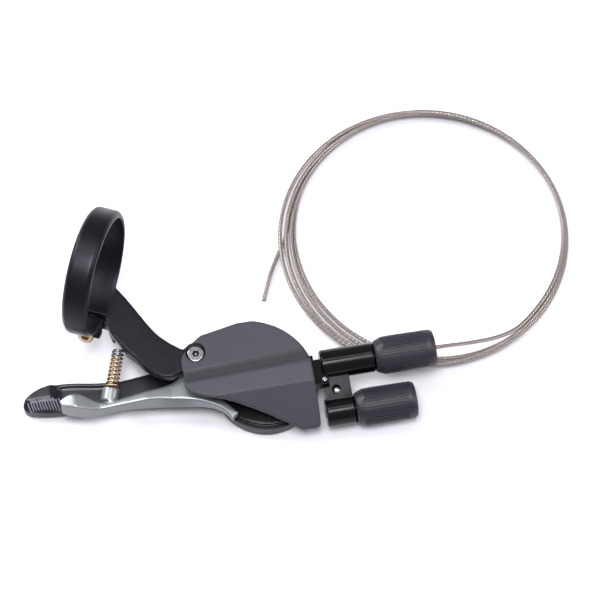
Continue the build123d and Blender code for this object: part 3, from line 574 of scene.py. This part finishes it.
class LockoutColours(bpy.types.PropertyGroup):
    clamp: bpy.props.FloatVectorProperty(
        name="Clamp", description="Handlebar clamp and its arm", size=4, subtype="COLOR", default=linear("#0f0e16"))
    block: bpy.props.FloatVectorProperty(
        name="Adjuster block", description="Block, chassis and barrels", size=4, subtype="COLOR",
        default=linear("#08080a"))
    cover: bpy.props.FloatVectorProperty(
        name="Cover", description="Plastic cover", size=4, subtype="COLOR", default=linear("#2b2b33"))
    main_lever: bpy.props.FloatVectorProperty(
        name="Main lever", description="Black thumb lever", size=4, subtype="COLOR", default=linear("#101019"))
    spool: bpy.props.FloatVectorProperty(
        name="Spool", description="Wire spool and pawl", size=4, subtype="COLOR", default=linear("#101013"))
    release_lever: bpy.props.FloatVectorProperty(
        name="Release lever", description="Grey release lever", size=4, subtype="COLOR", default=linear("#747879"))
    grip: bpy.props.FloatVectorProperty(
        name="Grips", description="Rubber of the adjuster knobs", size=4, subtype="COLOR", default=linear("#15141d"))
    bolt: bpy.props.FloatVectorProperty(
        name="Fasteners", description="Screws, pins and nuts", size=4, subtype="COLOR", default=linear("#9c9c9e"))
    bolt_zinc: bpy.props.FloatVectorProperty(
        name="Pinch bolt", description="Its yellow zinc", size=4, subtype="COLOR", default=linear("#bfa98e"))
    # The socket's colour is painted shade for the hollow of the pivot screw's socket.
    socket: bpy.props.FloatVectorProperty(
        name="Socket", description="Inside of the pivot screw's socket", size=4, subtype="COLOR",
        default=linear("#2a2422"))
    # The ribs' pale colour is a painted highlight on the paddle's fine ridges.
    ribs: bpy.props.FloatVectorProperty(
        name="Ribs", description="Rubbed ridges of the thumb paddle", size=4, subtype="COLOR",
        default=linear("#77737f"))
    spring: bpy.props.FloatVectorProperty(
        name="Spring steel", description="Plain springs", size=4, subtype="COLOR", default=linear("#86868a"))
    plating: bpy.props.FloatVectorProperty(
        name="Spring plating", description="Release spring", size=4, subtype="COLOR", default=linear("#b99f7e"))
    bearing: bpy.props.FloatVectorProperty(
        name="Bearings", description="Bushes", size=4, subtype="COLOR", default=linear("#b89a5e"))
    wire: bpy.props.FloatVectorProperty(
        name="Wire", description="Stranded wire", size=4, subtype="COLOR", default=linear("#9a918b"))
    paper: bpy.props.FloatVectorProperty(
        name="Paper", description="Floor of the studio", size=4, subtype="COLOR", default=linear("#c9c7cc"))


# The steps


class LOCKOUT_OT_camera(bpy.types.Operator):
    """Sets the camera where the photograph was taken from"""

    bl_idname = "lockout.camera"
    bl_label = "Camera"

    def execute(self, context):
        lens = bpy.data.cameras.new("photo_camera")
        lens.lens = CAMERA_LENS
        lens.sensor_width = 36.0
        lens.clip_start = 0.01
        lens.clip_end = 20.0
        camera = bpy.data.objects.new("photo_camera", lens)
        camera.location = CAMERA_PLACE
        camera.rotation_euler = Euler((math.radians(90 - CAMERA_ELEVATION), 0, math.radians(CAMERA_AZIMUTH)))
        context.scene.collection.objects.link(camera)
        context.scene.camera = camera
        return {"FINISHED"}


class LOCKOUT_OT_wire(bpy.types.Operator):
    """Lays the stranded wire: out of the adjuster, round its loose turns, to its cut end"""

    bl_idname = "lockout.wire"
    bl_label = "Shift Wire"

    def execute(self, context):
        sizes = context.scene.lockout_sizes
        steel = stranded_stainless_wire()
        wire = nurbs("shift_wire", [*WIRE_OUT, *coil_points(sizes)[:-1], *WIRE_TAIL], sizes.wire_diameter / 2)
        finish(wire, steel, "frame")
        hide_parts("cable_run", "cable_coil", "cable_tail")
        inner = nurbs("shift_wire_inside", WIRE_INSIDE, sizes.wire_diameter / 2)
        finish(inner, steel, "frame")
        return {"FINISHED"}


class LOCKOUT_OT_release_spring(bpy.types.Operator):
    """Winds the small spring between the release lever's cup and the clamp's arm"""

    bl_idname = "lockout.release_spring"
    bl_label = "Release Spring"

    def execute(self, context):
        sizes = context.scene.lockout_sizes
        turn = (Matrix.Rotation(BODY_YAW + SPRING_LEAN, 3, "Z")
                @ Matrix.Rotation(math.radians(90) - SPRING_TILT, 3, "Y"))
        seat = in_body(*SPRING_SEAT)
        way = turn @ Vector((0, 0, 1))
        points = []
        count = sizes.spring_turns * SPRING_POINTS_A_TURN
        for index in range(count + 1):
            angle = math.tau * index / SPRING_POINTS_A_TURN
            share = index / count
            points.append(seat + turn @ Vector((
                sizes.spring_radius * math.cos(angle), sizes.spring_radius * math.sin(angle),
                SPRING_FIRST + sizes.spring_wire / 2 + (SPRING_LENGTH - sizes.spring_wire) * share)))
        coil = nurbs("release_spring_wire", points, sizes.spring_wire / 2)
        context.view_layer.update()
        wound = bpy.data.meshes.new_from_object(coil.evaluated_get(context.evaluated_depsgraph_get()))
        bpy.data.objects.remove(coil)
        piece = bpy.data.objects.new("release_spring_wire", wound)
        context.scene.collection.objects.link(piece)
        wound.materials.clear()
        wound.materials.append(brass_plated_wire())
        wound.materials.append(drawn_steel_wire())
        for face in wound.polygons:
            face.use_smooth = True
            along = (face.center - seat).dot(way)
            face.material_index = int(along > SPRING_FIRST + SPRING_LENGTH * SPRING_BRASS_SHARE)
        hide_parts("release_spring")
        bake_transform(piece)
        return {"FINISHED"}


class LOCKOUT_OT_clamp(bpy.types.Operator):
    """Finishes the handlebar clamp and its pinch bolt"""

    bl_idname = "lockout.clamp"
    bl_label = "Clamp"

    def execute(self, context):
        forging = softened(copied("bar_clamp"), "clamp_forging", voxel=0.0003, rounds=10)
        finish(forging, anodised_aluminium(), "frame")
        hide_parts("bar_clamp")
        steel = zinc_plated_steel()
        paint(yellow_zinc_plating(), "pinch_bolt")
        paint(steel, "pivot_screw", "pivot_nut", "main_axle", "axle_washer",
              "axle_screw", "pawl_pin", "block_pin", "set_screw", "cable_head")
        # A dark liner in the pivot screw's socket, as painted shade.
        finish(screw_socket(), socket_painted_shade(), "frame")
        finish(screw_pin(), steel, "frame")
        return {"FINISHED"}


class LOCKOUT_OT_body(bpy.types.Operator):
    """Finishes the cover, the chassis under it and the adjuster block"""

    bl_idname = "lockout.body"
    bl_label = "Cover and Block"

    def execute(self, context):
        shell = softened(copied("cover"), "cover_shell", voxel=0.00028, rounds=6)
        finish(shell, glass_filled_nylon(), "frame")
        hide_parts("cover")
        paint(polished_anodised_aluminium(), "chassis", "adjuster_block", "upper_barrel", "lower_barrel")
        return {"FINISHED"}


class LOCKOUT_OT_levers(bpy.types.Operator):
    """Finishes the two thumb levers"""

    bl_idname = "lockout.levers"
    bl_label = "Levers"

    def execute(self, context):
        nylon = satin_nylon_lever()
        blade = softened(copied("main_lever", BLADE_END, clear_outer=True), "thumb_blade", voxel=0.00032, rounds=10)
        hub = settled(copied("main_lever", HUB_START, clear_inner=True), "thumb_lever_hub")
        for piece in (blade, hub):
            finish(piece, nylon, "thumb_lever")
        # The ridges' pale finish is a painted highlight.
        finish(thumb_ribs(), rib_painted_highlight(), "thumb_lever")
        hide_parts("main_lever")
        casting = softened(copied("release_lever"), "release_casting", voxel=0.00022, rounds=14)
        finish(casting, painted_zinc_casting(), "release")
        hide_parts("release_lever")
        return {"FINISHED"}


class LOCKOUT_OT_works(bpy.types.Operator):
    """Finishes the spool, the pawl, the springs and the bushes"""

    bl_idname = "lockout.works"
    bl_label = "Works"

    def execute(self, context):
        paint(acetal_spool(), "cable_spool", "pawl", "upper_knob_core", "lower_knob_core")
        paint(drawn_steel_wire(), "pawl_spring", "return_spring", "upper_knob_spring", "lower_knob_spring")
        paint(sintered_bronze(), "pivot_bush", "main_bush")
        return {"FINISHED"}


class LOCKOUT_OT_grips(bpy.types.Operator):
    """Finishes the rubber grips of the two adjuster knobs"""

    bl_idname = "lockout.grips"
    bl_label = "Grips"

    def execute(self, context):
        paint(moulded_rubber(), "upper_knob", "lower_knob")
        return {"FINISHED"}


class LOCKOUT_OT_stage(bpy.types.Operator):
    """Lays the pale floor and hangs the soft lights"""

    bl_idname = "lockout.stage"
    bl_label = "Studio"

    def execute(self, context):
        built = bmesh.new()
        bmesh.ops.create_grid(built, x_segments=8, y_segments=8, size=2.0)
        bmesh.ops.translate(built, verts=built.verts, vec=(0, 0, TABLE - 0.00005))
        floor = settled(built, "floor")
        floor.data.materials.append(seamless_paper())
        world = bpy.data.worlds.new("studio")
        world.use_nodes = True
        sky = world.node_tree.nodes["Background"]
        sky.inputs["Color"].default_value = SKY
        sky.inputs["Strength"].default_value = SKY_STRENGTH
        context.scene.world = world
        context.scene.view_settings.view_transform = "Standard"
        for name, place, width, height, power in LIGHTS:
            lamp = bpy.data.lights.new(name, "AREA")
            lamp.shape = "RECTANGLE"
            lamp.size = width
            lamp.size_y = height
            lamp.energy = power
            light = bpy.data.objects.new(name, lamp)
            light.location = place
            light.rotation_euler = (Vector(place) - LIT_MIDDLE).to_track_quat("Z", "Y").to_euler()
            context.scene.collection.objects.link(light)
        return {"FINISHED"}


STEPS = (
    LOCKOUT_OT_camera, LOCKOUT_OT_wire, LOCKOUT_OT_release_spring, LOCKOUT_OT_clamp, LOCKOUT_OT_body,
    LOCKOUT_OT_levers, LOCKOUT_OT_works, LOCKOUT_OT_grips, LOCKOUT_OT_stage,
)


class LOCKOUT_PT_panel(bpy.types.Panel):
    """Lists the steps and what may be changed"""

    bl_idname = "LOCKOUT_PT_panel"
    bl_label = "Lockout Lever"
    bl_space_type = "VIEW_3D"
    bl_region_type = "UI"
    bl_category = "Lockout Lever"

    def draw(self, context):
        for step in STEPS:
            self.layout.operator(step.bl_idname)
        for group in (context.scene.lockout_sizes, context.scene.lockout_colours):
            for name in group.bl_rna.properties.keys():
                if name not in ("rna_type", "name"):
                    self.layout.prop(group, name)


CLASSES = (LockoutSizes, LockoutColours, *STEPS, LOCKOUT_PT_panel)


def register():
    for item in CLASSES:
        bpy.utils.register_class(item)
    bpy.types.Scene.lockout_sizes = bpy.props.PointerProperty(type=LockoutSizes)
    bpy.types.Scene.lockout_colours = bpy.props.PointerProperty(type=LockoutColours)


def unregister():
    del bpy.types.Scene.lockout_colours
    del bpy.types.Scene.lockout_sizes
    for item in reversed(CLASSES):
        bpy.utils.unregister_class(item)


def main():
    register()
    for step in STEPS:
        group, name = step.bl_idname.split(".")
        getattr(getattr(bpy.ops, group), name)()


if __name__ == "__main__":
    main()
